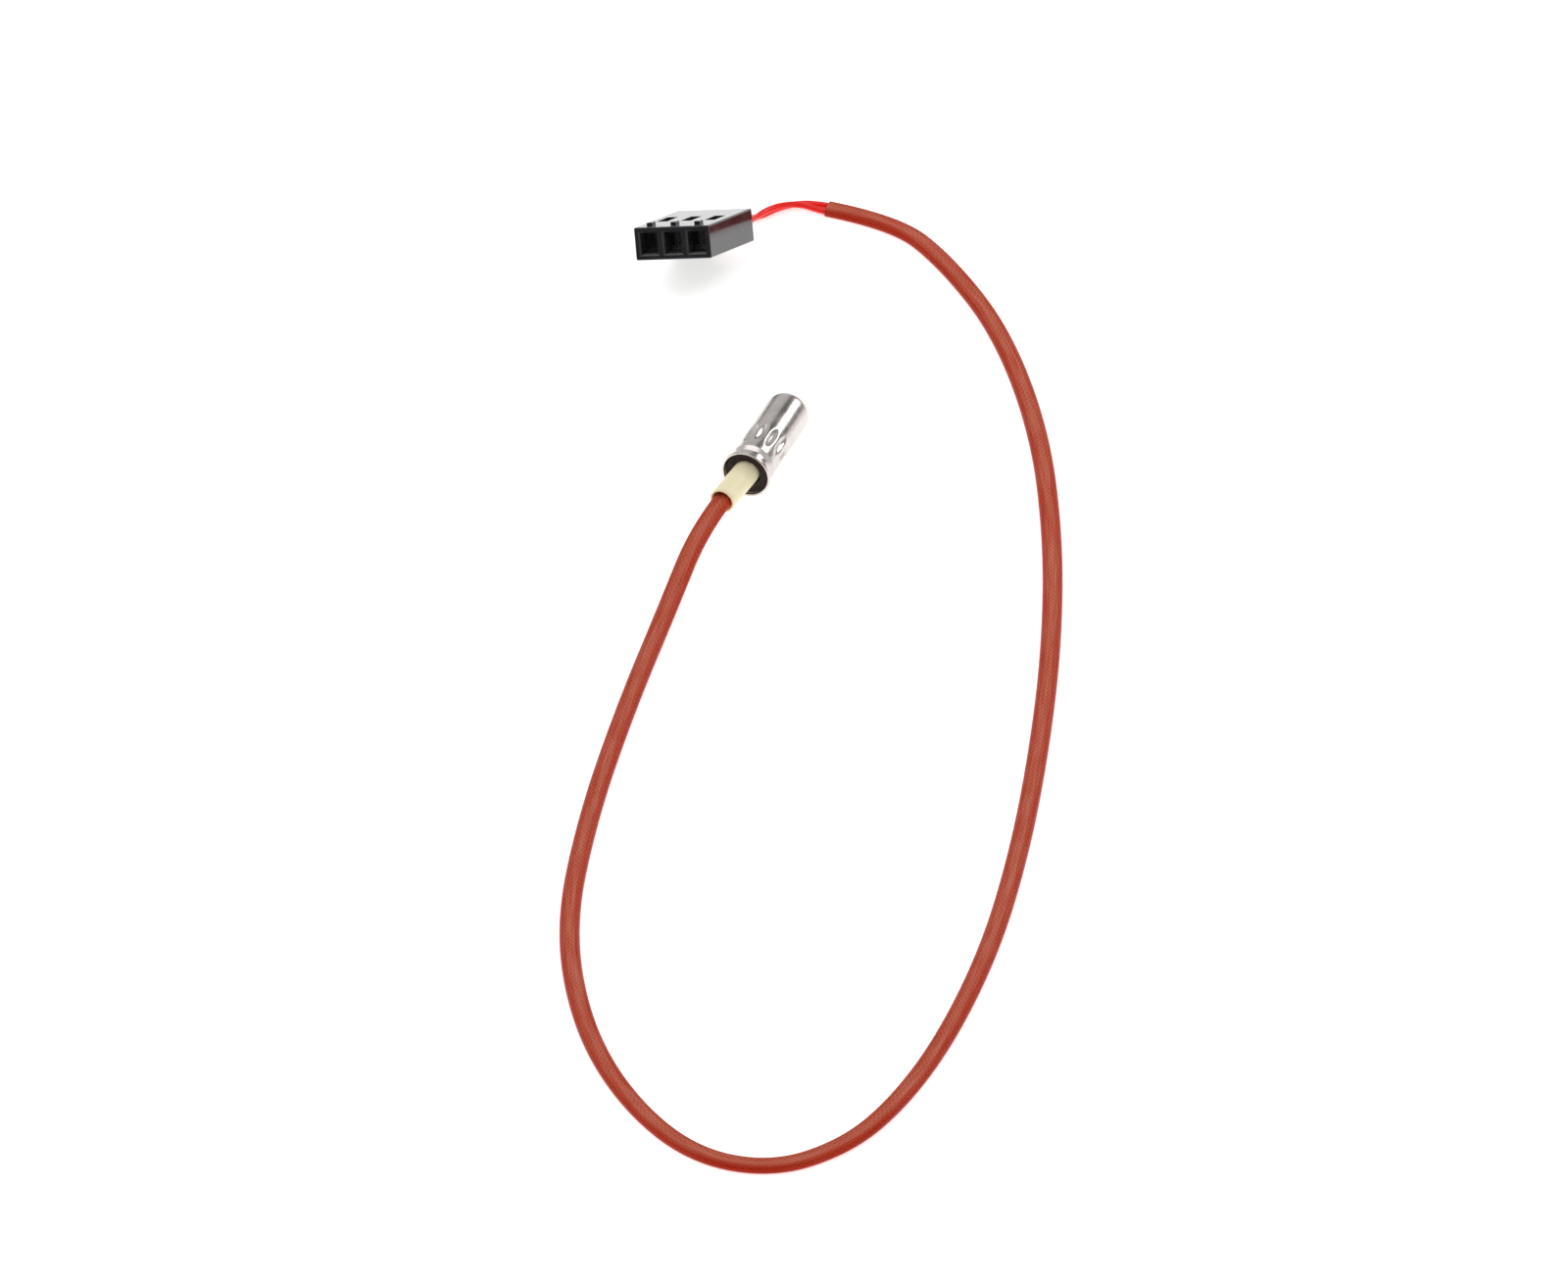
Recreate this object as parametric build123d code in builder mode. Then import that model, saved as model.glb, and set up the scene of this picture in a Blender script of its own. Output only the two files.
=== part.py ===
from build123d import *
import math
import os

# Flame sensor probe: a closed metal thimble on a sleeved two-wire lead with a three-way connector.
# Millimetres. The probe head lies along Y with its tip towards +Y, and everything rests on Z = 0.
# The origin is on that surface, under the middle of the probe head.

# Probe cap, a drawn thimble
wall = 0.35
body_radius = 3.5
neck_radius = 3.08
mouth_radius = 3.95
tip_y = 13.5
mouth_y = -5.6
lip_y = -5.2
neck_low_y = -4.2
neck_high_y = -3.4
shoulder_y = -2.7
tip_round = 2.2
lip_round = 0.3
neck_round = 0.5
edge_round = 0.12
axis_height = mouth_radius

# Crimp dimples that lock the cap to the bush
dimple_count = 12
dimple_y = 1.0
dimple_radius = 0.7
dimple_half_length = 3.1
dimple_depth = 0.42
fit_gap = 0.03

# Retaining bush, a spool inside the dimples with a collar that fills the cap's neck and flare
bush_front_y = 4.4
bush_rear_y = -2.4
waist_radius = 2.55
waist_half_length = 2.6
collar_radius = 2.7
collar_rear_y = -5.15
collar_rear_radius = 3.45
collar_bore = 2.2

# Cream insulating tube
tube_radius = 2.0
tube_bore = 1.65
tube_bend_y = -3.7
tube_end_y = -13.35
tube_lean = 4.7
tube_bend_radius = 34.0

# Sensing chip and its leads, on the two wire centre lines
wire_spacing = 1.56
chip_width = 2.0
chip_length = 2.6
chip_thickness = 0.5
chip_rear_y = 9.8
glaze_width = 1.9
glaze_length = 0.9
glaze_height = 0.45
lead_radius = 0.12
lead_front_y = 10.4
lead_rear_y = 1.1

# Crimped splices between the chip's leads and the wires
ferrule_front_y = 2.2
ferrule_rear_y = -0.8
ferrule_radius = 0.5
splice_front_y = 2.7
splice_rear_y = -1.3
splice_radius = 0.75

# Wires and the flat-lying sleeve over them
core_radius = 0.29
core_start_y = 1.0
insulation_radius = 0.49
insulation_start_y = -0.9
insulation_bore = 0.31
sleeve_width = 3.1
sleeve_thickness = 1.52
sleeve_wall = 0.22
sleeve_start_y = -10.6
rest_height = sleeve_thickness / 2

# Route of the sleeve beyond the insulating tube: corner points of its centre line
route = [
    (-1.4, -20.5, axis_height),
    (0.2, -38.5, rest_height),
    (3.8, -64.5, rest_height),
    (8.8, -92.5, rest_height),
    (16, -120, rest_height),
    (27.5, -142, rest_height),
    (40.7, -157.3, rest_height),
    (55.2, -166.7, rest_height),
    (68, -165.7, rest_height),
    (76, -155.8, rest_height),
    (79.2, -142.8, rest_height),
    (79.9, -125, rest_height),
    (77.7, -101, rest_height),
    (72.5, -75.5, rest_height),
    (65.5, -49.5, rest_height),
    (57.6, -24.5, rest_height),
    (48, 0.5, rest_height),
    (36, 25.5, rest_height),
    (20.8, 48, rest_height),
    (6, 62, rest_height),
    (-4.7, 68.5, rest_height),
    (-15.6, 68, rest_height),
]

# Bare stretch of each wire between the sleeve and the connector, first the inner wire
wire_straight = 1.2
wire_tails = [
    [(-19.9, 67.2, 1.1), (-22.5, 65.1, 1.5), (-23.9, 62.2, 1.9)],
    [(-20.2, 68.2, 0.52), (-22.9, 65.9, 0.5), (-24.9, 62, 0.55)],
]
lead_in = 6.2

# Connector housing, three ways at 3.96 pitch
pitch = 3.96
housing_width = 12.5
housing_height = 5.1
housing_length = 17.4
housing_round = 0.25
socket_width = 2.8
socket_height = 3.3
socket_depth = 2.4
bore_width = 2.36
bore_height = 2.66
window_width = 1.8
window_front = 5.9
window_rear = 10.4
nib_width = 0.9
nib_height = 0.6
nib_length = 1.4
nib_setback = 1.7
end_round = 0.2
mouth_chamfer = 0.25
nib_round = 0.15
connector_corner = Vector(-33.8, 52.1, 0)
connector_yaw = -3
connector_pitch = 24
connector_roll = 16

# Terminals, measured from the mating face backwards
terminal_wall = 0.3
box_front = 4.6
box_rear = 9.2
box_width = 2.3
box_height = 2.6
neck_width = 1.2
barrel_front = 10.2
barrel_rear = 12.4
barrel_radius = 0.62
grip_front = 13.2
grip_rear = 15.6
grip_radius = 0.8
link_radius = 0.72
link_bore = 0.45
core_end = 10.8
insulation_end = 13.2
lance_front = 5.2
lance_width = 1.0
lance_rise = 0.55
lance_thickness = 0.25

probe_axis = Axis((0, 0, axis_height), (0, 1, 0))
axis_plane = Plane.XY.offset(axis_height)
dimple_ring = Plane(origin=(0, dimple_y, axis_height), x_dir=(1, 0, 0), z_dir=(0, 1, 0))
dimple_place = body_radius - dimple_depth + dimple_radius
wire_offset = wire_spacing / 2

os.makedirs("parts", exist_ok=True)


def cap_form(inset):
    """The cap's outside, moved inwards by inset, as a solid filled to the axis."""
    with BuildPart() as form:
        with BuildSketch(axis_plane):
            with BuildLine():
                outline = FilletPolyline(
                    (0, mouth_y),
                    (mouth_radius - inset, mouth_y),
                    (mouth_radius - inset, lip_y),
                    (neck_radius - inset, neck_low_y),
                    (neck_radius - inset, neck_high_y),
                    (body_radius - inset, shoulder_y),
                    (body_radius - inset, tip_y - inset),
                    (0, tip_y - inset),
                    radius=[0, lip_round, neck_round, neck_round, neck_round, tip_round - inset],
                )
                Line(outline @ 1, outline @ 0)
            make_face()
        revolve(axis=probe_axis)
    return form.part


def dimple_form(growth):
    """One dimple's spindle shape about Z, larger all round by growth."""
    arc_radius = (dimple_half_length**2 + dimple_radius**2) / (2 * dimple_radius)
    half_length = math.sqrt((arc_radius + growth) ** 2 - (arc_radius - dimple_radius) ** 2)
    with BuildPart() as form:
        with BuildSketch(Plane.XZ):
            with BuildLine():
                arc = ThreePointArc((0, -half_length), (dimple_radius + growth, 0), (0, half_length))
                Line(arc @ 1, arc @ 0)
            make_face()
        revolve(axis=Axis.Z)
    return form.part


def dimple_ring_form(growth):
    """All the dimples' spindle shapes, in place round the cap."""
    one_dimple = dimple_form(growth)
    with BuildPart(dimple_ring) as ring:
        with PolarLocations(dimple_place, dimple_count):
            add(one_dimple)
    return ring.part


def corner_radius(before, corner, after):
    """Arc radius at a corner: 0.45 of the shorter run, over the tangent of half the turn."""
    run_in = Vector(corner) - Vector(before)
    run_out = Vector(after) - Vector(corner)
    half_turn = math.radians(run_in.get_angle(run_out)) / 2
    return 0.45 * min(run_in.length, run_out.length) / math.tan(half_turn)


def corner_radii(points):
    """Radius for each corner of a route."""
    return [corner_radius(*points[i : i + 3]) for i in range(len(points) - 2)]


def level_left(start, end):
    """Horizontal unit vector to the left of a run."""
    run = Vector(end) - Vector(start)
    return Vector(-run.Y, run.X, 0).normalized()


def beside(points, radii, distance):
    """A route's corners and radii moved sideways, level, to its left by distance."""
    moved = [Vector(points[0]) + level_left(points[0], points[1]) * distance]
    moved_radii = []
    for before, corner, after, radius in zip(points, points[1:], points[2:], radii):
        left_in = level_left(before, corner)
        left_out = level_left(corner, after)
        mitre = (left_in + left_out) * (distance / (1 + left_in.dot(left_out)))
        moved.append(Vector(corner) + mitre)
        turn_side = math.copysign(1, left_in.cross(left_out).Z)
        moved_radii.append(radius - turn_side * distance)
    moved.append(Vector(points[-1]) + level_left(points[-2], points[-1]) * distance)
    return moved, moved_radii


def section_plane(line):
    """Plane across a line at its start, with its X axis level."""
    tangent = line % 0
    return Plane(origin=line @ 0, x_dir=Vector(0, 0, 1).cross(tangent), z_dir=tangent)


def along_probe(y):
    """Point on the insulating tube's leaning centre line at a given Y."""
    return (-(tube_bend_y - y) * math.tan(math.radians(tube_lean)), y, axis_height)


# ---- Probe head, from the outside in ----

with BuildPart() as cap_hollow:
    add(cap_form(wall))
    add(dimple_ring_form(wall), mode=Mode.SUBTRACT)

with BuildPart() as probe_cap:
    add(cap_form(0))
    add(dimple_ring_form(0), mode=Mode.SUBTRACT)
    add(cap_hollow.part, mode=Mode.SUBTRACT)
    rim = probe_cap.faces().sort_by(Axis.Y)[0]
    fillet(rim.edges(), edge_round)
probe_cap.part.label = "probe_cap"
export_step(probe_cap.part, "parts/probe_cap.step")

with BuildPart() as retaining_bush:
    with BuildSketch(axis_plane):
        with BuildLine():
            flange_radius = body_radius - wall - fit_gap
            Polyline(
                (collar_bore, collar_rear_y),
                (collar_rear_radius, collar_rear_y),
                (collar_radius, neck_low_y),
                (collar_radius, bush_rear_y),
                (flange_radius, bush_rear_y),
                (flange_radius, dimple_y - waist_half_length),
                (waist_radius, dimple_y - waist_half_length),
                (waist_radius, dimple_y + waist_half_length),
                (flange_radius, dimple_y + waist_half_length),
                (flange_radius, bush_front_y),
                (tube_radius + fit_gap, bush_front_y),
                (tube_radius + fit_gap, bush_rear_y),
                close=True,
            )
        make_face()
    revolve(axis=probe_axis)
retaining_bush.part.label = "retaining_bush"
export_step(retaining_bush.part, "parts/retaining_bush.step")

with BuildPart() as insulating_tube:
    with BuildLine():
        tube_line = FilletPolyline(
            (0, bush_front_y, axis_height),
            (0, tube_bend_y, axis_height),
            along_probe(tube_end_y),
            radius=tube_bend_radius,
        )
    with BuildSketch(section_plane(tube_line)):
        Circle(tube_radius)
        Circle(tube_bore, mode=Mode.SUBTRACT)
    sweep(path=tube_line)
insulating_tube.part.label = "insulating_tube"
export_step(insulating_tube.part, "parts/insulating_tube.step")

# ---- Sensing element and splices ----

chip_top = axis_height - lead_radius
chip_plane = Plane.XY.offset(chip_top - chip_thickness)

with BuildPart() as chip_substrate:
    with BuildSketch(chip_plane):
        with Locations((0, chip_rear_y)):
            Rectangle(chip_width, chip_length, align=(Align.CENTER, Align.MIN))
    extrude(amount=chip_thickness)
chip_substrate.part.label = "chip_substrate"
export_step(chip_substrate.part, "parts/chip_substrate.step")

chip_leads = []
for number, side in enumerate((1, -1), start=1):
    x = side * wire_offset
    with BuildPart() as chip_lead:
        with BuildSketch(Plane(origin=(x, lead_front_y, axis_height), z_dir=(0, -1, 0))):
            Circle(lead_radius)
        extrude(amount=lead_front_y - lead_rear_y)
    chip_lead.part.label = f"chip_lead_{number}"
    export_step(chip_lead.part, f"parts/chip_lead_{number}.step")
    chip_leads.append(chip_lead.part)

    with BuildPart() as splice_ferrule:
        with BuildSketch(Plane(origin=(x, ferrule_front_y, axis_height), z_dir=(0, -1, 0))):
            Circle(ferrule_radius)
            Circle(lead_radius + fit_gap / 2, mode=Mode.SUBTRACT)
        extrude(amount=ferrule_front_y - ferrule_rear_y)
        with BuildSketch(Plane(origin=(x, core_start_y, axis_height), z_dir=(0, -1, 0))):
            Circle(insulation_bore)
        extrude(amount=core_start_y - ferrule_rear_y, mode=Mode.SUBTRACT)
    splice_ferrule.part.label = f"splice_ferrule_{number}"
    export_step(splice_ferrule.part, f"parts/splice_ferrule_{number}.step")

    with BuildPart() as splice_sleeve:
        with BuildSketch(Plane(origin=(x, splice_front_y, axis_height), z_dir=(0, -1, 0))):
            Circle(splice_radius)
            Circle(ferrule_radius + fit_gap, mode=Mode.SUBTRACT)
        extrude(amount=splice_front_y - splice_rear_y)
    splice_sleeve.part.label = f"splice_sleeve_{number}"
    export_step(splice_sleeve.part, f"parts/splice_sleeve_{number}.step")

with BuildPart() as chip_glaze:
    with BuildSketch(Plane.XY.offset(chip_top)):
        with Locations((0, chip_rear_y)):
            Rectangle(glaze_width, glaze_length, align=(Align.CENTER, Align.MIN))
    extrude(amount=glaze_height)
    fillet(chip_glaze.faces().sort_by(Axis.Z)[-1].edges(), glaze_height / 3)
    for lead in chip_leads:
        add(lead, mode=Mode.SUBTRACT)
chip_glaze.part.label = "chip_glaze"
export_step(chip_glaze.part, "parts/chip_glaze.step")

with BuildPart() as potting_cement:
    add(cap_form(wall + fit_gap))
    split(bisect_by=Plane(origin=(0, bush_front_y, 0), z_dir=(0, 1, 0)), keep=Keep.TOP)
    for buried in [chip_substrate.part, chip_glaze.part, *chip_leads]:
        add(buried, mode=Mode.SUBTRACT)
potting_cement.part.label = "potting_cement"
export_step(potting_cement.part, "parts/potting_cement.step")

# ---- Connector ----


def turned(vector):
    """A direction of the level connector, turned to how the connector lies."""
    rolled = vector.rotate(Axis.Y, -connector_roll)
    return rolled.rotate(Axis.X, -connector_pitch).rotate(Axis.Z, connector_yaw)


right = turned(Vector(1, 0, 0))
forward = turned(Vector(0, -1, 0))
up = turned(Vector(0, 0, 1))
face_centre = connector_corner + right * (housing_width / 2) + up * (housing_height / 2)
face_centre = face_centre + forward * housing_length
# Z leaves the mating face, X runs along the row of sockets
mating_face = Plane(origin=face_centre, x_dir=right, z_dir=forward)
rear_face = mating_face.offset(-housing_length)
top_face = Plane(origin=face_centre + up * (housing_height / 2), x_dir=right, z_dir=up)
long_axis = Axis(face_centre, forward)

with BuildPart() as connector_housing:
    with BuildSketch(rear_face):
        RectangleRounded(housing_width, housing_height, housing_round)
    extrude(amount=housing_length)
    ends = connector_housing.faces().sort_by(long_axis)
    fillet(ends[0].edges() + ends[-1].edges(), end_round)
    with BuildSketch(top_face):
        with Locations((0, nib_setback)):
            with GridLocations(pitch, 0, 3, 1):
                Rectangle(nib_width, nib_length)
    extrude(amount=nib_height)
    nib_tops = connector_housing.faces().sort_by(Axis(face_centre, up))[-3:]
    fillet(nib_tops.edges(), nib_round)
    with BuildSketch(mating_face):
        with GridLocations(pitch, 0, 3, 1):
            Rectangle(socket_width, socket_height)
    extrude(amount=-socket_depth, mode=Mode.SUBTRACT)
    mouth_edges = connector_housing.faces().sort_by(long_axis)[-1].inner_wires().edges()
    chamfer(mouth_edges, mouth_chamfer)
    with BuildSketch(mating_face):
        with GridLocations(pitch, 0, 3, 1):
            Rectangle(bore_width, bore_height)
    extrude(amount=-housing_length, mode=Mode.SUBTRACT)
    with BuildSketch(top_face):
        with Locations((0, (window_front + window_rear) / 2)):
            with GridLocations(pitch, 0, 3, 1):
                Rectangle(window_width, window_rear - window_front)
    extrude(amount=-housing_height / 2, mode=Mode.SUBTRACT)
connector_housing.part.label = "connector_housing"
export_step(connector_housing.part, "parts/connector_housing.step")

for number, place in enumerate((pitch, 0), start=1):
    cavity = Plane(origin=face_centre + right * place, x_dir=right, z_dir=forward)
    cavity_side = Plane(origin=face_centre + right * (place - lance_width / 2), x_dir=-forward, z_dir=right)
    with BuildPart() as terminal:
        with BuildSketch(cavity.offset(-box_rear)):
            Rectangle(box_width, box_height)
        extrude(amount=box_rear - box_front)
        with BuildSketch(cavity.offset(-box_rear + terminal_wall)):
            Rectangle(box_width - 2 * terminal_wall, box_height - 2 * terminal_wall)
        extrude(amount=box_rear - box_front - terminal_wall, mode=Mode.SUBTRACT)
        with BuildSketch(cavity.offset(-barrel_front)):
            Rectangle(neck_width, neck_width)
        extrude(amount=barrel_front - box_rear)
        with BuildSketch(cavity.offset(-barrel_rear)):
            Circle(barrel_radius)
        extrude(amount=barrel_rear - barrel_front)
        with BuildSketch(cavity.offset(-barrel_rear)):
            Circle(insulation_bore)
        extrude(amount=barrel_rear - core_end, mode=Mode.SUBTRACT)
        with BuildSketch(cavity.offset(-grip_front)):
            Circle(link_radius)
            Circle(link_bore, mode=Mode.SUBTRACT)
            Rectangle(3 * link_radius, link_radius, align=(Align.CENTER, Align.MIN), mode=Mode.SUBTRACT)
        extrude(amount=grip_front - barrel_rear)
        with BuildSketch(cavity.offset(-grip_rear)):
            Circle(grip_radius)
            Circle(insulation_radius + fit_gap, mode=Mode.SUBTRACT)
        extrude(amount=grip_rear - grip_front)
        with BuildSketch(cavity_side):
            with BuildLine():
                Polyline(
                    (lance_front, box_height / 2 - terminal_wall / 2),
                    (window_rear - lance_thickness, box_height / 2 + lance_rise),
                    (window_rear - lance_thickness, box_height / 2 + lance_rise - lance_thickness),
                    (lance_front + terminal_wall, box_height / 2 - terminal_wall / 2),
                    close=True,
                )
            make_face()
        extrude(amount=lance_width)
    terminal.part.label = f"terminal_{number}"
    export_step(terminal.part, f"parts/terminal_{number}.step")

# ---- Lead ----

sleeve_points = [along_probe(sleeve_start_y), *route]
sleeve_radii = corner_radii(sleeve_points)
print("sleeve radii", [round(radius, 1) for radius in sleeve_radii])

with BuildPart() as silicone_sleeve:
    with BuildLine():
        sleeve_line = FilletPolyline(*sleeve_points, radius=sleeve_radii)
    with BuildSketch(section_plane(sleeve_line)):
        SlotOverall(sleeve_width, sleeve_thickness)
        SlotOverall(sleeve_width - 2 * sleeve_wall, sleeve_thickness - 2 * sleeve_wall, mode=Mode.SUBTRACT)
    section_area = silicone_sleeve.pending_faces[0].area
    sweep(path=sleeve_line)
silicone_sleeve.part.label = "silicone_sleeve"
export_step(silicone_sleeve.part, "parts/silicone_sleeve.step")
sleeve_length = sleeve_line.length
print("sleeve length", sleeve_length, "volume / (section x length)",
      silicone_sleeve.part.volume / (section_area * sleeve_length))

for number, side in enumerate((1, -1), start=1):
    distance = side * wire_offset
    socket_x = (pitch, 0)[number - 1]
    inner_points = [(0, insulation_start_y, axis_height), (0, tube_bend_y, axis_height), *route]
    inner_radii = [tube_bend_radius, *sleeve_radii]
    points, radii = beside(inner_points, inner_radii, distance)
    last_run = (points[-1] - points[-2]).normalized()
    points[-1] = points[-1] + last_run * wire_straight
    socket_axis = face_centre + right * socket_x
    points += [Vector(point) for point in wire_tails[number - 1]]
    points.append(socket_axis - forward * (housing_length + lead_in))
    points.append(socket_axis - forward * insulation_end)
    tail_radii = corner_radii(points[len(radii) :])
    radii += tail_radii
    print("wire", number, "tail radii", [round(radius, 1) for radius in tail_radii])

    with BuildPart() as wire_insulation:
        with BuildLine():
            insulation_line = FilletPolyline(*points, radius=radii)
        with BuildSketch(section_plane(insulation_line)):
            Circle(insulation_radius)
            Circle(insulation_bore, mode=Mode.SUBTRACT)
        sweep(path=insulation_line)
    wire_insulation.part.label = f"wire_insulation_{number}"
    export_step(wire_insulation.part, f"parts/wire_insulation_{number}.step")

    points[0] = Vector(points[0].X, core_start_y, axis_height)
    points[-1] = socket_axis - forward * core_end
    with BuildPart() as wire_core:
        with BuildLine():
            core_line = FilletPolyline(*points, radius=radii)
        with BuildSketch(section_plane(core_line)):
            Circle(core_radius)
        sweep(path=core_line)
    wire_core.part.label = f"wire_core_{number}"
    export_step(wire_core.part, f"parts/wire_core_{number}.step")
    print("wire", number, "length", core_line.length)
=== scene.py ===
import math

import bmesh
import bpy
from mathutils import Matrix, Vector


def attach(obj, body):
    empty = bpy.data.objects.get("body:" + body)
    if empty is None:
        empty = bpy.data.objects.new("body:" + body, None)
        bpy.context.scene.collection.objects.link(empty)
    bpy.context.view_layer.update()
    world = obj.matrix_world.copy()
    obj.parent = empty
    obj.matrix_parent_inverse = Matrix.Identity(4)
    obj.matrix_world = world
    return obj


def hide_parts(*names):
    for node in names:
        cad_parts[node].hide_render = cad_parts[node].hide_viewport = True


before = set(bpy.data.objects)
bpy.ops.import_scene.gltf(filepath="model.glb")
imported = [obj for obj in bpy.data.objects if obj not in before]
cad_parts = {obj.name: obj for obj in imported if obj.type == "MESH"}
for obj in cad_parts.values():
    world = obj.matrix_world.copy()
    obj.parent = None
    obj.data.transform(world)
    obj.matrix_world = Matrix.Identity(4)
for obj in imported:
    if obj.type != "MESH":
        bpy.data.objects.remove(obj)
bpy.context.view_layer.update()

MM = 0.001
BODY = "root"

# ---- Sizes shared with the CAD model, in millimetres ----

AXIS_HEIGHT = 3.95
WIRE_OFFSET = 0.78
SLEEVE_WIDTH = 3.1
SLEEVE_THICKNESS = 1.52
SLEEVE_WALL = 0.22
REST_HEIGHT = SLEEVE_THICKNESS / 2
INSULATION_RADIUS = 0.49
INSULATION_BORE = 0.31
CORE_RADIUS = 0.29
TUBE_RADIUS = 2.0
TUBE_BORE = 1.65
TUBE_END = (-0.793, -13.35, AXIS_HEIGHT)

# Centre line of the sleeve, the route's corner points
ROUTE = [
    (-0.567, -10.6, AXIS_HEIGHT),
    (-1.4, -20.5, AXIS_HEIGHT),
    (0.2, -38.5, REST_HEIGHT),
    (3.8, -64.5, REST_HEIGHT),
    (8.8, -92.5, REST_HEIGHT),
    (16, -120, REST_HEIGHT),
    (27.5, -142, REST_HEIGHT),
    (40.7, -157.3, REST_HEIGHT),
    (55.2, -166.7, REST_HEIGHT),
    (68, -165.7, REST_HEIGHT),
    (76, -155.8, REST_HEIGHT),
    (79.2, -142.8, REST_HEIGHT),
    (79.9, -125, REST_HEIGHT),
    (77.7, -101, REST_HEIGHT),
    (72.5, -75.5, REST_HEIGHT),
    (65.5, -49.5, REST_HEIGHT),
    (57.6, -24.5, REST_HEIGHT),
    (48, 0.5, REST_HEIGHT),
    (36, 25.5, REST_HEIGHT),
    (20.8, 48, REST_HEIGHT),
    (6, 62, REST_HEIGHT),
    (-4.7, 68.5, REST_HEIGHT),
    (-15.6, 68, REST_HEIGHT),
]
# Centre line inside the insulating tube, and the tube's own
TUBE_LINE = [
    (0, 4.4, AXIS_HEIGHT),
    (0, 0, AXIS_HEIGHT),
    (0, -3.7, AXIS_HEIGHT),
    (-0.28, -7.1, AXIS_HEIGHT),
    TUBE_END,
]
LEAD_START = [(0, -0.9, AXIS_HEIGHT), (0, -3.7, AXIS_HEIGHT), ROUTE[0]]
# Bare wires between the sleeve and the connector, first the wire on the loop's inner side
WIRE_STRAIGHT = 1.2
WIRE_TAILS = [
    [(-19.9, 67.2, 1.1), (-22.5, 65.1, 1.5), (-23.9, 62.2, 1.9)],
    [(-20.2, 68.2, 0.52), (-22.9, 65.9, 0.5), (-24.9, 62, 0.55)],
]
LEAD_IN = 6.2

# Connector
PITCH = 3.96
HOUSING_WIDTH = 12.5
HOUSING_HEIGHT = 5.1
HOUSING_LENGTH = 17.4
CONNECTOR_CORNER = Vector((-33.8, 52.1, 0))
CONNECTOR_YAW = -3
CONNECTOR_PITCH = 24
CONNECTOR_ROLL = 16
INSULATION_END = 13.2
CORE_END = 10.8

# Cap
WALL = 0.35
BODY_RADIUS = 3.5
NECK_RADIUS = 3.08
MOUTH_RADIUS = 3.95
TIP_Y = 13.5
MOUTH_Y = -5.6
LIP_Y = -5.2
NECK_LOW_Y = -4.2
NECK_HIGH_Y = -3.4
SHOULDER_Y = -2.7
TIP_ROUND = 2.2
LIP_ROUND = 0.3
NECK_ROUND = 0.5
DIMPLE_COUNT = 12
DIMPLE_Y = 1.0
DIMPLE_DEPTH = 0.42

# ---- Shapes drawn only here, in millimetres ----

# The dimples' softer outline: shorter than the CAD's, with edges that fade out
DIMPLE_HALF_LENGTH = 2.6
DIMPLE_HALF_WIDTH = 0.72
DIMPLE_END_SHAPE = 2.4
DIMPLE_SIDE_SHAPE = 1.7
# How much one dimple differs from the next: along the cap, and in depth as a share
DIMPLE_SHIFT = 0.08
DIMPLE_VARIATION = 0.1
LIP_BULGE = 0.1

# Points round each section and along each line
TUBE_SIDES = 64
SLEEVE_SIDES = 48
INSULATION_SIDES = 24
CORE_SIDES = 16
CAP_SIDES = 144
CAP_STEP = 0.16
ROUND_STEPS = 8
LIP_STEPS = 6
ROUTE_RESOLUTION = 24
SHORT_RESOLUTION = 16
START_RESOLUTION = 12

# ---- Looks ----

LAID_OUT = "laid_out"
# The range that a noise's values mostly keep to
NOISE_LOW = 0.3
NOISE_HIGH = 0.7
RIM_BULGE = 0.3
SLEEVE_DIP = 0.12
BRAID_STRANDS = 12
BRAID_LENGTH = 1.1
KEY_DIRECTION = (0.392, 0.752, 0.530)
KEY_DISTANCE = 0.9
KEY_SIZE = 0.23
KEY_POWER = 1.6
OVERHEAD_DIRECTION = (-0.3, -0.1, 1)
OVERHEAD_DISTANCE = 1.3
OVERHEAD_SIZE = 1.4
OVERHEAD_POWER = 6
WORLD_TONE = (0.86, 0.86, 0.86)
WORLD_STRENGTH = 0.75
SCREEN_ANGLE = 30
SCREEN_TONE = (0.17, 0.165, 0.165)
# The screen's soft edge, as cosines outside and inside its angle
SCREEN_EDGE_OUTSIDE = 0.03
SCREEN_EDGE_INSIDE = 0.01
BACK_TONE = (0.15, 0.15, 0.16)
BACK_START = 0.55
BACK_END = 0.85
FLOOR_TONE = (0.87, 0.87, 0.87)
FLOOR_HALF_WIDTH = 3.0
FLOOR_GLOW = 0.65

# Camera
CAMERA_AZIMUTH = 21.6
CAMERA_ELEVATION = 36
CAMERA_DISTANCE = 8.0
VIEW_WIDTH = 0.2384
VIEW_CENTRE = (19.6, -39.2, 0)


# ---- Lines ----


def spline_points(name, corners, resolution):
    """Points, in metres, along the smooth NURBS line that the corners, in millimetres, control."""
    data = bpy.data.curves.new(name, "CURVE")
    data.dimensions = "3D"
    data.resolution_u = resolution
    spline = data.splines.new("NURBS")
    spline.points.add(len(corners) - 1)
    for point, corner in zip(spline.points, corners):
        point.co = (*(Vector(corner) * MM), 1)
    spline.order_u = 3
    spline.use_endpoint_u = True
    line = bpy.data.objects.new(name, data)
    bpy.context.collection.objects.link(line)
    mesh = bpy.data.meshes.new_from_object(line)
    points = [vertex.co.copy() for vertex in mesh.vertices]
    bpy.data.objects.remove(line)
    bpy.data.curves.remove(data)
    bpy.data.meshes.remove(mesh)
    return points


def tangents(points):
    """Unit direction of a line at each of its points."""
    last = len(points) - 1
    return [(points[min(i + 1, last)] - points[max(i - 1, 0)]).normalized() for i in range(last + 1)]


def left_of(tangent):
    """Level unit vector to the left of a direction."""
    return Vector((-tangent.y, tangent.x, 0)).normalized()


def beside(points, distance):
    """A line moved sideways, level, to its left."""
    return [point + left_of(tangent) * distance for point, tangent in zip(points, tangents(points))]


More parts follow.
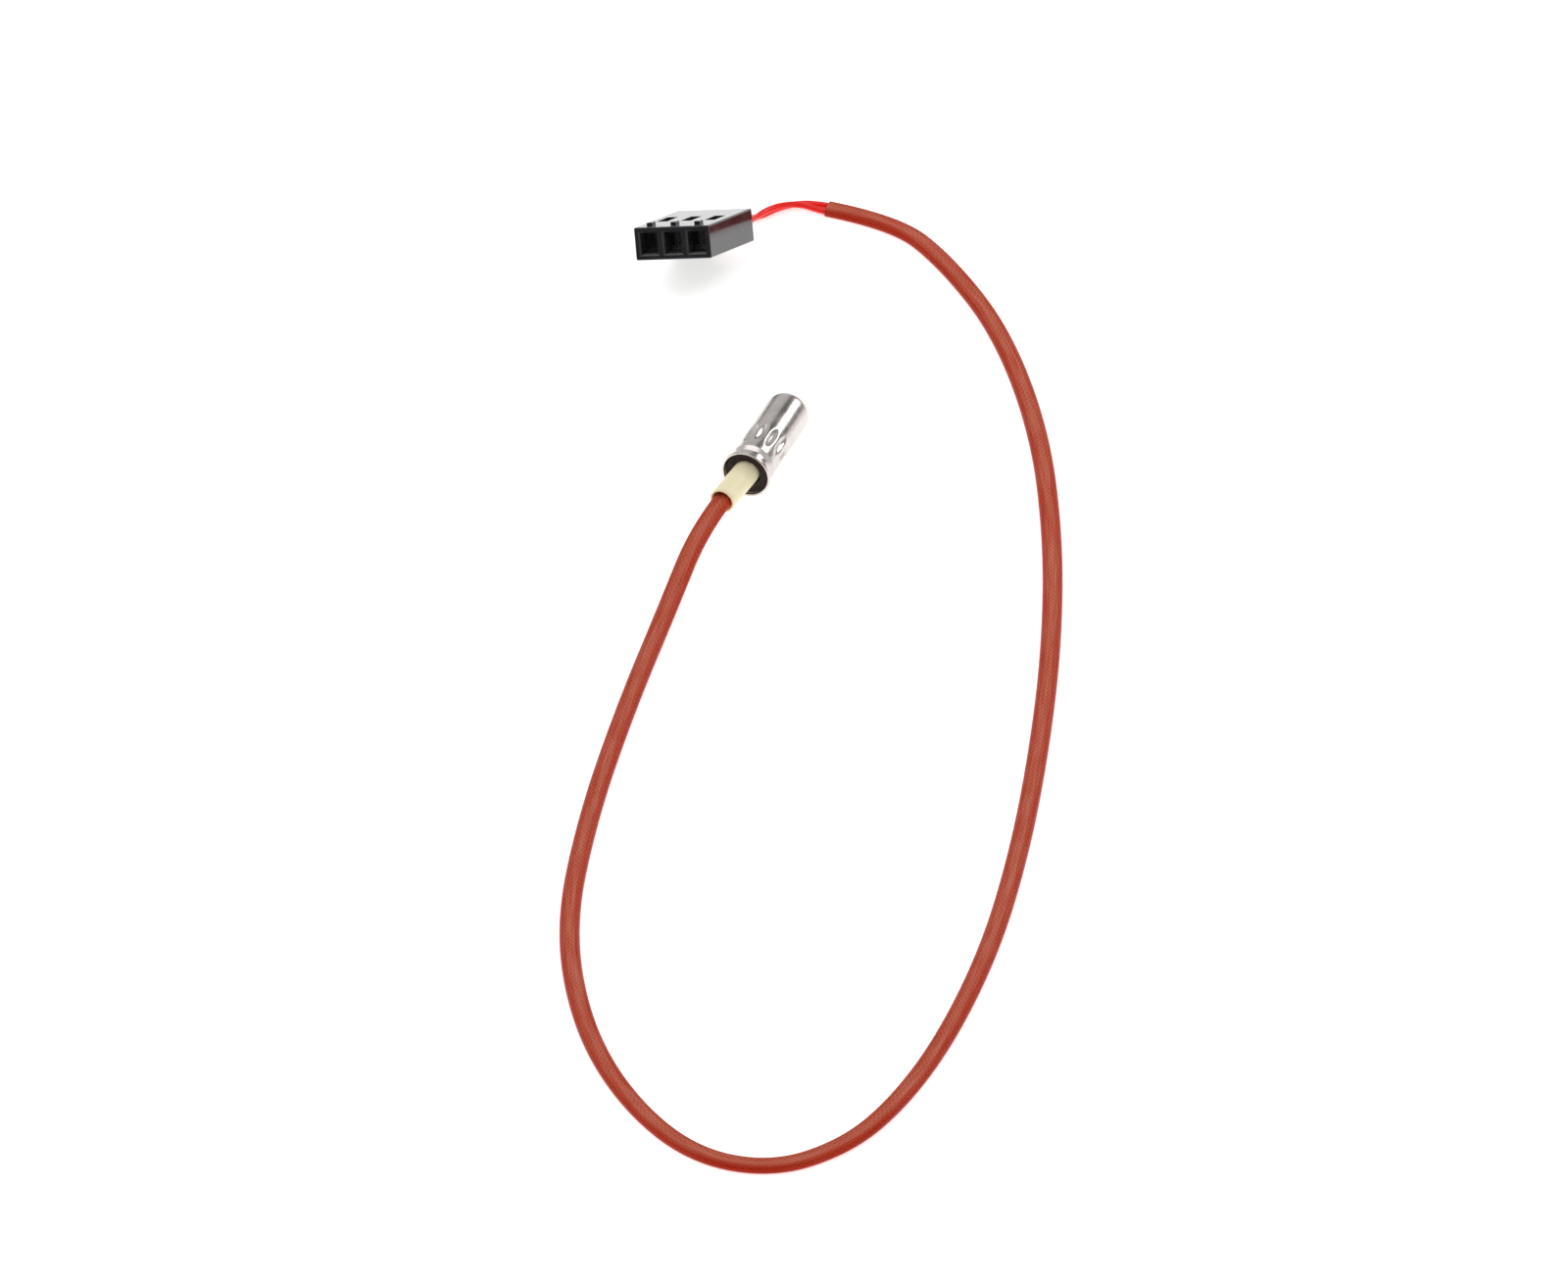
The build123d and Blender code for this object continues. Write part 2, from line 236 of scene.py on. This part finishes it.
def joined(*lines):
    """Lines end to end as one, without the doubled points where they meet."""
    points = list(lines[0])
    for line in lines[1:]:
        points += line[1:]
    return points


# ---- Meshes ----


def new_piece(name, vertices, faces, material, smooth=True):
    """A mesh object with one material, outward normals and, unless told otherwise, smooth shading."""
    mesh = bpy.data.meshes.new(name)
    mesh.from_pydata(vertices, [], faces)
    tidy = bmesh.new()
    tidy.from_mesh(mesh)
    bmesh.ops.recalc_face_normals(tidy, faces=tidy.faces)
    tidy.to_mesh(mesh)
    tidy.free()
    for polygon in mesh.polygons:
        polygon.use_smooth = smooth
    mesh.materials.append(material)
    piece = bpy.data.objects.new(name, mesh)
    bpy.context.collection.objects.link(piece)
    return piece


def ring_faces(ring_count, ring_size, closed):
    """Quads between neighbouring rings of vertices, and from the last to the first if closed."""
    faces = []
    for i in range(ring_count if closed else ring_count - 1):
        here = i * ring_size
        after = (i + 1) % ring_count * ring_size
        for j in range(ring_size):
            k = (j + 1) % ring_size
            faces.append((here + j, here + k, after + k, after + j))
    return faces


def ring(point, tangent, section):
    """A section's outline, in millimetres, placed across a line at a point."""
    left = left_of(tangent)
    up = tangent.cross(left)
    return [point + left * (x * MM) + up * (y * MM) for x, y in section]


def lay_out(piece, distances, ring_size):
    """Stores where each vertex would be if the piece's line were straight: round the ring, then along."""
    places = piece.data.attributes.new(LAID_OUT, "FLOAT_VECTOR", "POINT")
    for i, distance in enumerate(distances):
        for j in range(ring_size):
            angle = 2 * math.pi * j / ring_size
            places.data[i * ring_size + j].vector = (math.cos(angle), math.sin(angle), distance)


def distances_along(points):
    """Distance of each of a line's points from its start."""
    distances = [0.0]
    for a, b in zip(points, points[1:]):
        distances.append(distances[-1] + (b - a).length)
    return distances


def rim_rings(point, outwards, across, outer, inner, wall):
    """Rings of a half-round rim from a tube's outer skin to its inner one."""
    steps = 4
    rings = []
    for k in range(steps + 1):
        angle = math.pi * k / steps
        blend = (1 - math.cos(angle)) / 2
        section = [(a[0] + (b[0] - a[0]) * blend, a[1] + (b[1] - a[1]) * blend) for a, b in zip(outer, inner)]
        centre = point + outwards * (RIM_BULGE * wall * math.sin(angle) * MM)
        rings.append(ring(centre, across, section))
    return rings


def hollow_tube(name, points, outer, inner, material):
    """A tube with outer and inner sections and softly rounded rims."""
    directions = tangents(points)
    distances = distances_along(points)
    wall = math.dist(outer[0], inner[0])
    first, last = directions[0], directions[-1]
    middle = list(zip(points, directions))[1:-1]
    rings = [ring(point, tangent, outer) for point, tangent in middle]
    rings += rim_rings(points[-1], last, last, outer, inner, wall)
    rings += [ring(point, tangent, inner) for point, tangent in middle[::-1]]
    rings += rim_rings(points[0], -first, first, inner, outer, wall)
    rim_size = len(rings) // 2 - len(middle)
    alongs = distances[1:-1] + [distances[-1]] * rim_size + distances[-2:0:-1] + [0.0] * rim_size
    vertices = [vertex for one in rings for vertex in one]
    tube = new_piece(name, vertices, ring_faces(len(rings), len(outer), True), material)
    lay_out(tube, alongs, len(outer))
    return tube


def solid_rod(name, points, section, material):
    """A rod with flat ends."""
    rings = [ring(point, tangent, section) for point, tangent in zip(points, tangents(points))]
    vertices = [vertex for one in rings for vertex in one]
    faces = ring_faces(len(rings), len(section), False)
    faces.append(tuple(range(len(section))))
    faces.append(tuple(range(len(vertices) - len(section), len(vertices))))
    rod = new_piece(name, vertices, faces, material)
    lay_out(rod, distances_along(points), len(section))
    return rod


def circle(radius, count):
    """A circle's outline, as points round it."""
    return [
        (radius * math.cos(2 * math.pi * i / count), radius * math.sin(2 * math.pi * i / count))
        for i in range(count)
    ]


def flat_oval(width, thickness, dip, count):
    """Outline of a sleeve over two wires: two round edges and a shallow dip along the middle."""
    radius = thickness / 2
    centre = width / 2 - radius
    outline = []
    for i in range(count):
        angle = 2 * math.pi * i / count
        x = width / 2 * math.cos(angle)
        side = math.copysign(1, math.sin(angle))
        beyond = abs(x) - centre
        if beyond > 0:
            height = math.sqrt(max(radius**2 - beyond**2, 0))
        else:
            height = radius - dip * (1 + math.cos(math.pi * x / centre)) / 2
        outline.append((x, side * height))
    return outline


def rounded(corners, radii, steps):
    """A 2-D outline with each inner corner rounded to its radius."""
    outline = [corners[0]]
    for before, corner, after, radius in zip(corners, corners[1:], corners[2:], radii):
        if radius == 0:
            outline.append(corner)
            continue
        at = Vector(corner)
        way_in = (Vector(before) - at).normalized()
        way_out = (Vector(after) - at).normalized()
        half = way_in.angle(way_out) / 2
        bisector = (way_in + way_out).normalized()
        centre = at + bisector * (radius / math.sin(half))
        start = at + way_in * (radius / math.tan(half)) - centre
        end = at + way_out * (radius / math.tan(half)) - centre
        for i in range(steps + 1):
            blend = (start * math.sin((1 - i / steps) * (math.pi / 2 - half) * 2)
                     + end * math.sin(i / steps * (math.pi / 2 - half) * 2))
            outline.append(tuple(centre + blend / math.sin((math.pi / 2 - half) * 2)))
    outline.append(corners[-1])
    return outline


# ---- Materials ----


def new_material(name, color, roughness, metallic=0.0):
    """A Principled material. Returns it with its node tree and shader."""
    material = bpy.data.materials.new(name)
    material.use_nodes = True
    tree = material.node_tree
    shader = tree.nodes["Principled BSDF"]
    shader.inputs["Base Color"].default_value = (*color, 1)
    shader.inputs["Roughness"].default_value = roughness
    shader.inputs["Metallic"].default_value = metallic
    return material, tree, shader


def object_place(tree):
    return tree.nodes.new("ShaderNodeTexCoord").outputs["Object"]


def laid_out_place(tree):
    """Places on a lead's surface as if its line were straight."""
    node = tree.nodes.new("ShaderNodeAttribute")
    node.attribute_name = LAID_OUT
    return node.outputs["Vector"]


def noise(tree, place, stretch, detail=4):
    """Noise over a place, with its frequency along each axis."""
    mapping = tree.nodes.new("ShaderNodeMapping")
    mapping.inputs["Scale"].default_value = stretch
    texture = tree.nodes.new("ShaderNodeTexNoise")
    texture.inputs["Scale"].default_value = 1
    texture.inputs["Detail"].default_value = detail
    tree.links.new(place, mapping.inputs["Vector"])
    tree.links.new(mapping.outputs["Vector"], texture.inputs["Vector"])
    return texture.outputs["Fac"]


def ramp(tree, factor, stops):
    """Colours blended along a factor, from (place, colour) stops."""
    node = tree.nodes.new("ShaderNodeValToRGB")
    while len(node.color_ramp.elements) < len(stops):
        node.color_ramp.elements.new(0.5)
    for element, (place, color) in zip(node.color_ramp.elements, stops):
        element.position = place
        element.color = (*color, 1)
    tree.links.new(factor, node.inputs["Fac"])
    return node.outputs["Color"]


def spread(tree, factor, low, high):
    """A noise's usual range stretched to low to high."""
    node = tree.nodes.new("ShaderNodeMapRange")
    node.inputs["From Min"].default_value = NOISE_LOW
    node.inputs["From Max"].default_value = NOISE_HIGH
    node.inputs["To Min"].default_value = low
    node.inputs["To Max"].default_value = high
    tree.links.new(factor, node.inputs["Value"])
    return node.outputs["Result"]


def math_step(tree, operation, a, b=None):
    """One calculation on sockets or numbers."""
    node = tree.nodes.new("ShaderNodeMath")
    node.operation = operation
    for socket, value in zip(node.inputs, (a, b)):
        if isinstance(value, bpy.types.NodeSocket):
            tree.links.new(value, socket)
        elif value is not None:
            socket.default_value = value
    return node.outputs["Value"]


def bump(tree, shader, height, depth_mm):
    """Relief of a given depth."""
    node = tree.nodes.new("ShaderNodeBump")
    node.inputs["Distance"].default_value = depth_mm * MM
    tree.links.new(height, node.inputs["Height"])
    tree.links.new(node.outputs["Normal"], shader.inputs["Normal"])


def tinted(color, factor):
    return tuple(min(channel * factor, 1) for channel in color)


def varied(tree, shader, factor, color, variation):
    """Base colour that varies a little round a colour."""
    stops = [(NOISE_LOW, tinted(color, 1 - variation)), (NOISE_HIGH, tinted(color, 1 + variation))]
    tree.links.new(ramp(tree, factor, stops), shader.inputs["Base Color"])


def plain_material(name, color, roughness, metallic=0.0, grain_mm=0.4, variation=0.12, relief_mm=0.004):
    """A material whose colour, roughness and relief vary finely."""
    material, tree, shader = new_material(name, color, roughness, metallic)
    frequency = 1 / (grain_mm * MM)
    grain = noise(tree, object_place(tree), (frequency, frequency, frequency))
    varied(tree, shader, grain, color, variation)
    tree.links.new(spread(tree, grain, roughness * 0.8, roughness * 1.2), shader.inputs["Roughness"])
    bump(tree, shader, grain, relief_mm)
    return material


def sleeve_material():
    """Silicone-coated braid, iron red: the crossing strands show faintly through a satin coat.

    Its colour is lighter along the crown of each broad face, a painted highlight, and darker towards its
    round edges, painted shade.
    """
    color = (0.45, 0.040, 0.010)
    material, tree, shader = new_material("sleeve_iron_red", color, 0.45)
    shader.inputs["Specular IOR Level"].default_value = 0.12
    place = laid_out_place(tree)
    parts = tree.nodes.new("ShaderNodeSeparateXYZ")
    tree.links.new(place, parts.inputs["Vector"])
    angle = math_step(tree, "ARCTAN2", parts.outputs["Y"], parts.outputs["X"])
    turn = math_step(tree, "MULTIPLY", angle, BRAID_STRANDS)
    advance = math_step(tree, "MULTIPLY", parts.outputs["Z"], 2 * math.pi / (BRAID_LENGTH * MM))
    one_way = math_step(tree, "SINE", math_step(tree, "ADD", turn, advance))
    other_way = math_step(tree, "SINE", math_step(tree, "SUBTRACT", turn, advance))
    strands = math_step(tree, "MAXIMUM", one_way, other_way)
    mottle = noise(tree, object_place(tree), (170, 170, 170), 5)
    streaks = noise(tree, place, (11, 11, 140), 3)
    # Painted highlight along the crown of each broad face, fading to painted shade at the round edges
    painted_crown_highlight = math_step(tree, "POWER", math_step(tree, "ABSOLUTE", parts.outputs["Y"]), 2)
    tone = math_step(tree, "MULTIPLY", mottle, 0.1)
    for part, share in ((streaks, 0.55), (painted_crown_highlight, 0.28), (strands, 0.05)):
        tone = math_step(tree, "ADD", tone, math_step(tree, "MULTIPLY", part, share))
    # Dark stop: painted shade at the edges; pale stop: painted highlight, also reached by the random streaks
    stops = [(0.3, (0.40, 0.012, 0.001)), (0.5, color), (0.74, (0.58, 0.18, 0.115))]
    tree.links.new(ramp(tree, tone, stops), shader.inputs["Base Color"])
    grain = noise(tree, object_place(tree), (2600, 2600, 2600))
    tree.links.new(spread(tree, grain, 0.28, 0.4), shader.inputs["Roughness"])
    relief = math_step(tree, "ADD", strands, math_step(tree, "MULTIPLY", grain, 0.8))
    bump(tree, shader, relief, 0.022)
    return material


def wire_material():
    """Bright red silicone insulation, smoother and glossier than the sleeve."""
    color = (0.88, 0.012, 0.007)
    material, tree, shader = new_material("wire_bright_red", color, 0.28)
    shader.inputs["Specular IOR Level"].default_value = 0.3
    streaks = noise(tree, laid_out_place(tree), (3, 3, 120), 3)
    varied(tree, shader, streaks, color, 0.1)
    tree.links.new(spread(tree, streaks, 0.22, 0.34), shader.inputs["Roughness"])
    bump(tree, shader, noise(tree, object_place(tree), (3000, 3000, 3000), 3), 0.006)
    return material


def cap_material():
    """Drawn metal: fine turning lines round the cap, and a faint haze from handling."""
    color = (0.64, 0.60, 0.575)
    material, tree, shader = new_material("cap_bright_metal", color, 0.2, metallic=1.0)
    haze = noise(tree, object_place(tree), (350, 350, 350), 5)
    varied(tree, shader, haze, color, 0.1)
    tree.links.new(spread(tree, haze, 0.22, 0.34), shader.inputs["Roughness"])
    lines = noise(tree, object_place(tree), (220, 8000, 220), 6)
    bump(tree, shader, lines, 0.002)
    return material


def tube_material():
    """Cream insulating tube: waxy, with a fine weave under the surface."""
    color = (0.98, 0.85, 0.57)
    material, tree, shader = new_material("tube_cream", color, 0.5)
    shader.inputs["Subsurface Weight"].default_value = 0.25
    shader.inputs["Subsurface Radius"].default_value = (0.0012, 0.0008, 0.0004)
    shader.inputs["Subsurface Scale"].default_value = 0.6
    mottle = noise(tree, object_place(tree), (400, 400, 400))
    varied(tree, shader, mottle, color, 0.05)
    tree.links.new(spread(tree, mottle, 0.42, 0.6), shader.inputs["Roughness"])
    weave = noise(tree, laid_out_place(tree), (9, 9, 2600), 2)
    bump(tree, shader, weave, 0.012)
    return material


def housing_material():
    """Moulded black plastic: glossy, with a soft sheen and a very fine grain, a little uneven in tone."""
    color = (0.016, 0.015, 0.017)
    material, tree, shader = new_material("housing_black_plastic", color, 0.36)
    shader.inputs["Sheen Weight"].default_value = 0.3
    shader.inputs["Sheen Roughness"].default_value = 0.25
    wear = noise(tree, object_place(tree), (260, 260, 260), 5)
    tree.links.new(ramp(tree, wear, [(0.35, (0.012, 0.011, 0.013)), (0.75, (0.030, 0.027, 0.031))]),
                   shader.inputs["Base Color"])
    tree.links.new(spread(tree, wear, 0.04, 0.1), shader.inputs["Roughness"])
    bump(tree, shader, noise(tree, object_place(tree), (4200, 4200, 4200)), 0.001)
    return material


# ---- Cap ----


def cap_outline(inset):
    """Radius and Y along one skin of the cap, from its mouth to its tip."""
    corners = [
        (MOUTH_RADIUS - inset, MOUTH_Y),
        (MOUTH_RADIUS - inset, LIP_Y),
        (NECK_RADIUS - inset, NECK_LOW_Y),
        (NECK_RADIUS - inset, NECK_HIGH_Y),
        (BODY_RADIUS - inset, SHOULDER_Y),
        (BODY_RADIUS - inset, TIP_Y - inset),
        (0, TIP_Y - inset),
    ]
    return rounded(corners, [LIP_ROUND, NECK_ROUND, NECK_ROUND, NECK_ROUND, TIP_ROUND - inset], ROUND_STEPS)


def divided(outline, step):
    """An outline with its long stretches divided, so that none is longer than a step."""
    points = [outline[0]]
    for a, b in zip(outline, outline[1:]):
        parts = math.ceil(math.dist(a, b) / step)
        for i in range(1, parts + 1):
            points.append((a[0] + (b[0] - a[0]) * i / parts, a[1] + (b[1] - a[1]) * i / parts))
    return points


def dimple_depth_at(angle, y):
    """How far the crimp dimples press the cap in at a place on its side. No two dimples are quite alike."""
    spacing = 2 * math.pi / DIMPLE_COUNT
    number = round(angle / spacing)
    across = (angle - number * spacing) * BODY_RADIUS / DIMPLE_HALF_WIDTH
    along = (y - DIMPLE_Y - DIMPLE_SHIFT * math.sin(2.4 * number)) / DIMPLE_HALF_LENGTH
    reach = across**2 + abs(along) ** DIMPLE_END_SHAPE
    if reach >= 1:
        return 0
    return DIMPLE_DEPTH * (1 + DIMPLE_VARIATION * math.sin(5.1 * number)) * (1 - reach) ** DIMPLE_SIDE_SHAPE


def make_cap(material):
    """The drawn cap: outer and inner skins joined round a rolled lip and closed at the tip."""
    around = CAP_SIDES
    outer = divided(cap_outline(0), CAP_STEP)
    inner = divided(cap_outline(WALL), CAP_STEP)
    lip_middle = MOUTH_RADIUS - WALL / 2
    lip = []
    for k in range(1, LIP_STEPS):
        angle = math.pi * k / LIP_STEPS
        lip.append((lip_middle + WALL / 2 * math.cos(angle), MOUTH_Y - LIP_BULGE * math.sin(angle)))
    profile = outer[-2::-1] + lip + inner[:-1]
    vertices = []
    for radius, y in profile:
        for j in range(around):
            angle = 2 * math.pi * j / around
            reach = radius - dimple_depth_at(angle, y)
            vertices.append(Vector((reach * math.cos(angle), y, AXIS_HEIGHT + reach * math.sin(angle))) * MM)
    faces = ring_faces(len(profile), around, False)
    tips = len(vertices)
    vertices.append(Vector((0, TIP_Y, AXIS_HEIGHT)) * MM)
    vertices.append(Vector((0, TIP_Y - WALL, AXIS_HEIGHT)) * MM)
    last_ring = (len(profile) - 1) * around
    for j in range(around):
        k = (j + 1) % around
        faces.append((j, k, tips))
        faces.append((last_ring + j, last_ring + k, tips + 1))
    return new_piece("cap_shell", vertices, faces, material)


# ---- Lead ----


def turned(vector):
    """A direction of the level connector, turned to how the connector lies."""
    turn = Matrix.Rotation(math.radians(CONNECTOR_YAW), 3, "Z")
    turn = turn @ Matrix.Rotation(math.radians(-CONNECTOR_PITCH), 3, "X")
    turn = turn @ Matrix.Rotation(math.radians(-CONNECTOR_ROLL), 3, "Y")
    return turn @ Vector(vector)


def wire_line(lead, side, tail, socket_x, end_depth):
    """Line of one wire, in metres: beside the lead's line, then bare, into its socket to a depth."""
    right = turned((1, 0, 0))
    forward = turned((0, -1, 0))
    up = turned((0, 0, 1))
    face_centre = CONNECTOR_CORNER + right * (HOUSING_WIDTH / 2) + up * (HOUSING_HEIGHT / 2)
    face_centre += forward * HOUSING_LENGTH
    socket = face_centre + right * socket_x
    inside = beside(lead, side * WIRE_OFFSET * MM)
    sleeve_end = inside[-1] / MM
    corners = [
        sleeve_end,
        sleeve_end + tangents(inside)[-1] * WIRE_STRAIGHT,
        *tail,
        socket - forward * (HOUSING_LENGTH + LEAD_IN),
        socket - forward * end_depth,
    ]
    return joined(inside, spline_points("wire_tail", corners, SHORT_RESOLUTION))


def show(piece, slot, *replaced):
    """Rides a new piece on the body and hides the CAD nodes that it stands for. The slot is not used."""
    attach(piece, BODY)
    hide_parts(*replaced)
    return piece


# ---- The object ----

wire_red = wire_material()
tinned_copper = plain_material("tinned_copper", (0.72, 0.66, 0.58), 0.35, metallic=1.0, grain_mm=0.2)
terminal_tin = plain_material("terminal_tin", (0.66, 0.65, 0.63), 0.3, metallic=1.0, grain_mm=0.3)

show(make_cap(cap_material()), "cap_steel", "probe_cap")

tube_line = spline_points("tube_line", TUBE_LINE, SHORT_RESOLUTION)
tube_outside = circle(TUBE_RADIUS, TUBE_SIDES)
tube_inside = circle(TUBE_BORE, TUBE_SIDES)
tube = hollow_tube("cream_tube", tube_line, tube_outside, tube_inside, tube_material())
show(tube, "cream_tube", "insulating_tube")

route = spline_points("route", ROUTE, ROUTE_RESOLUTION)
inner_width = SLEEVE_WIDTH - 2 * SLEEVE_WALL
inner_thickness = SLEEVE_THICKNESS - 2 * SLEEVE_WALL
outer_oval = flat_oval(SLEEVE_WIDTH, SLEEVE_THICKNESS, SLEEVE_DIP, SLEEVE_SIDES)
inner_oval = flat_oval(inner_width, inner_thickness, SLEEVE_DIP, SLEEVE_SIDES)
sleeve = hollow_tube("sleeve", route, outer_oval, inner_oval, sleeve_material())
show(sleeve, "sleeve_red", "silicone_sleeve")

lead = joined(spline_points("lead_start", LEAD_START, START_RESOLUTION), route)
on_lead = ["connector_housing", "terminal_1", "terminal_2"]
insulation_outside = circle(INSULATION_RADIUS, INSULATION_SIDES)
insulation_inside = circle(INSULATION_BORE, INSULATION_SIDES)
for number, side, tail, socket_x in ((1, 1, WIRE_TAILS[0], PITCH), (2, -1, WIRE_TAILS[1], 0)):
    line = wire_line(lead, side, tail, socket_x, INSULATION_END)
    insulation = hollow_tube(f"insulation_{number}", line, insulation_outside, insulation_inside, wire_red)
    show(insulation, "wire_red", f"wire_insulation_{number}")
    line = wire_line(lead, side, tail, socket_x, CORE_END)
    core = solid_rod(f"conductor_{number}", line, circle(CORE_RADIUS, CORE_SIDES), tinned_copper)
    show(core, "conductor", f"wire_core_{number}")
    on_lead += [insulation, core]

cad_materials = {
    # The bush is dark brown plastic; its near-black colour also stands in for the shade deep in the cap's
    # mouth, as painted shade
    "retaining_bush": plain_material("bush_dark_brown_painted_shade", (0.012, 0.004, 0.002), 0.8, grain_mm=0.5),
    "potting_cement": plain_material("cement_white", (0.62, 0.59, 0.52), 0.85, variation=0.2, relief_mm=0.05),
    "chip_substrate": plain_material("chip_alumina", (0.80, 0.79, 0.76), 0.5, grain_mm=0.15, variation=0.05),
    "chip_glaze": plain_material("chip_glass", (0.05, 0.16, 0.12), 0.15, grain_mm=0.5),
    "connector_housing": housing_material(),
}
chip_wire = plain_material("chip_platinum_wire", (0.70, 0.68, 0.65), 0.25, metallic=1.0, grain_mm=0.1)
ferrule_brass = plain_material("ferrule_tinned_brass", (0.68, 0.62, 0.50), 0.3, metallic=1.0, grain_mm=0.2)
splice_white = plain_material("splice_white_sleeve", (0.78, 0.77, 0.72), 0.6, grain_mm=0.3, variation=0.06)
for number in (1, 2):
    cad_materials[f"chip_lead_{number}"] = chip_wire
    cad_materials[f"splice_ferrule_{number}"] = ferrule_brass
    cad_materials[f"splice_sleeve_{number}"] = splice_white
    cad_materials[f"terminal_{number}"] = terminal_tin
for node, material in cad_materials.items():
    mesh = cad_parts[node].data
    mesh.materials.clear()
    mesh.materials.append(material)

# ---- Floor, light and camera ----


def make_floor():
    """A plain pale floor that glows a little, which keeps the shadows faint."""
    half = FLOOR_HALF_WIDTH
    corners = [(-half, -half, 0), (half, -half, 0), (half, half, 0), (-half, half, 0)]
    material, tree, shader = new_material("floor_white", FLOOR_TONE, 0.7)
    varied(tree, shader, noise(tree, object_place(tree), (3, 3, 3)), FLOOR_TONE, 0.01)
    shader.inputs["Emission Color"].default_value = (1, 1, 0.99, 1)
    shader.inputs["Emission Strength"].default_value = FLOOR_GLOW
    new_piece("floor", corners, [(0, 1, 2, 3)], material, smooth=False)


def add_softbox(name, direction, distance, size, power):
    """A square area light that faces the middle of the view."""
    data = bpy.data.lights.new(name, "AREA")
    data.shape = "SQUARE"
    data.size = size
    data.energy = power
    light = bpy.data.objects.new(name, data)
    away = Vector(direction).normalized()
    light.location = Vector(VIEW_CENTRE) * MM + away * distance
    light.rotation_euler = away.to_track_quat("Z", "Y").to_euler()
    bpy.context.collection.objects.link(light)


def make_world():
    """Pale surroundings, with a dark screen round the key light that draws the metal's edges.

    They also darken towards -Y, the camera's side.
    """
    world = bpy.data.worlds.new("studio")
    world.use_nodes = True
    bpy.context.scene.world = world
    tree = world.node_tree
    background = tree.nodes["Background"]
    place = tree.nodes.new("ShaderNodeTexCoord").outputs["Generated"]
    towards = tree.nodes.new("ShaderNodeVectorMath")
    towards.operation = "DOT_PRODUCT"
    towards.inputs[1].default_value = Vector(KEY_DIRECTION).normalized()
    tree.links.new(place, towards.inputs[0])
    near = math.cos(math.radians(SCREEN_ANGLE))
    stops = [(near - SCREEN_EDGE_OUTSIDE, WORLD_TONE), (near + SCREEN_EDGE_INSIDE, SCREEN_TONE)]
    screen = ramp(tree, towards.outputs["Value"], stops)
    parts = tree.nodes.new("ShaderNodeSeparateXYZ")
    tree.links.new(place, parts.inputs["Vector"])
    backwards = math_step(tree, "MULTIPLY", parts.outputs["Y"], -1)
    shade = ramp(tree, backwards, [(BACK_START, (1, 1, 1)), (BACK_END, BACK_TONE)])
    both = tree.nodes.new("ShaderNodeVectorMath")
    both.operation = "MULTIPLY"
    tree.links.new(screen, both.inputs[0])
    tree.links.new(shade, both.inputs[1])
    tree.links.new(both.outputs["Vector"], background.inputs["Color"])
    background.inputs["Strength"].default_value = WORLD_STRENGTH


def add_camera():
    """A camera with a long lens, looking at the middle of the loop."""
    azimuth = math.radians(CAMERA_AZIMUTH)
    elevation = math.radians(CAMERA_ELEVATION)
    level = math.cos(elevation)
    back = Vector((math.sin(azimuth) * level, -math.cos(azimuth) * level, math.sin(elevation)))
    data = bpy.data.cameras.new("camera")
    data.sensor_fit = "HORIZONTAL"
    data.angle = 2 * math.atan(VIEW_WIDTH / 2 / CAMERA_DISTANCE)
    camera = bpy.data.objects.new("camera", data)
    camera.location = Vector(VIEW_CENTRE) * MM + back * CAMERA_DISTANCE
    camera.rotation_euler = back.to_track_quat("Z", "Y").to_euler()
    bpy.context.collection.objects.link(camera)
    bpy.context.scene.camera = camera


make_floor()
make_world()
add_softbox("key", KEY_DIRECTION, KEY_DISTANCE, KEY_SIZE, KEY_POWER)
add_softbox("overhead", OVERHEAD_DIRECTION, OVERHEAD_DISTANCE, OVERHEAD_SIZE, OVERHEAD_POWER)
add_camera()
bpy.context.scene.view_settings.view_transform = "Standard"
